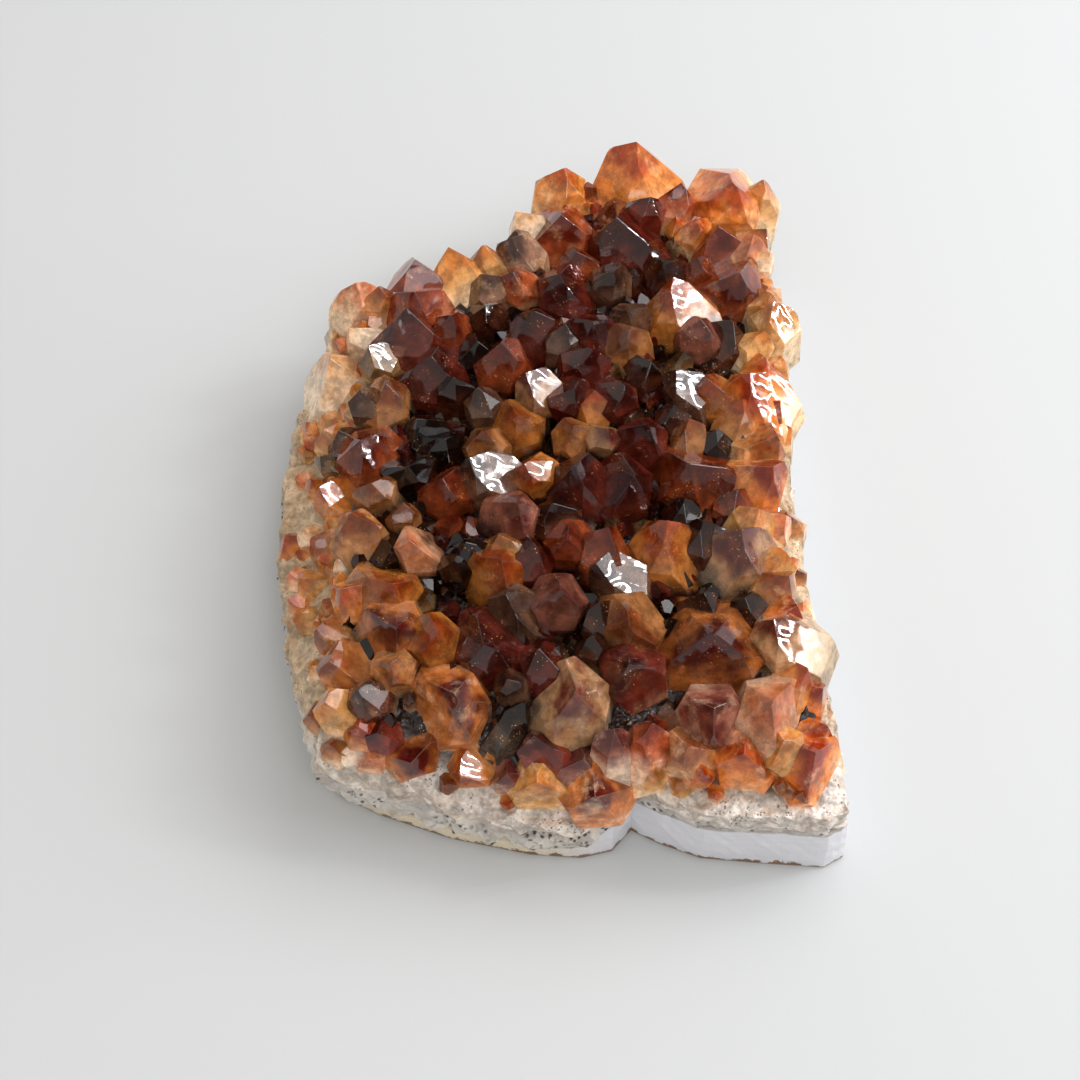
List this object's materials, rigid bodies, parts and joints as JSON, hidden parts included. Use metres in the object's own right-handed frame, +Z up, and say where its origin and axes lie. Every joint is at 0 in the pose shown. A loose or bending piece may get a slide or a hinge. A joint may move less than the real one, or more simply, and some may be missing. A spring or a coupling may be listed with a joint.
{
  "type": "citrine cluster",
  "caption": "Broken slab of geode wall: a waxy agate rind and granular quartz bed under a crowded crust of faceted citrine points, rust red at the heart and honey at the rim.",
  "frame": {"origin": "near the centre of the flat underside, on its plane", "axes": "+Z up through the points, +Y along the slab towards its narrow end, +X towards the straight long side"},
  "size_m": [0.0907, 0.1373, 0.0329],
  "materials": {
    "agate": "waxy, faintly translucent, smooth broken faces",
    "bed_quartz": "granular, cloudy, sparkling, dark specks",
    "citrine": "glossy clear crystal, milky at the root"
  },
  "bodies": {
    "root": {"agate_base": "agate", "quartz_bed": "bed_quartz", "citrine_crystals": "citrine"}
  },
  "joints": []
}
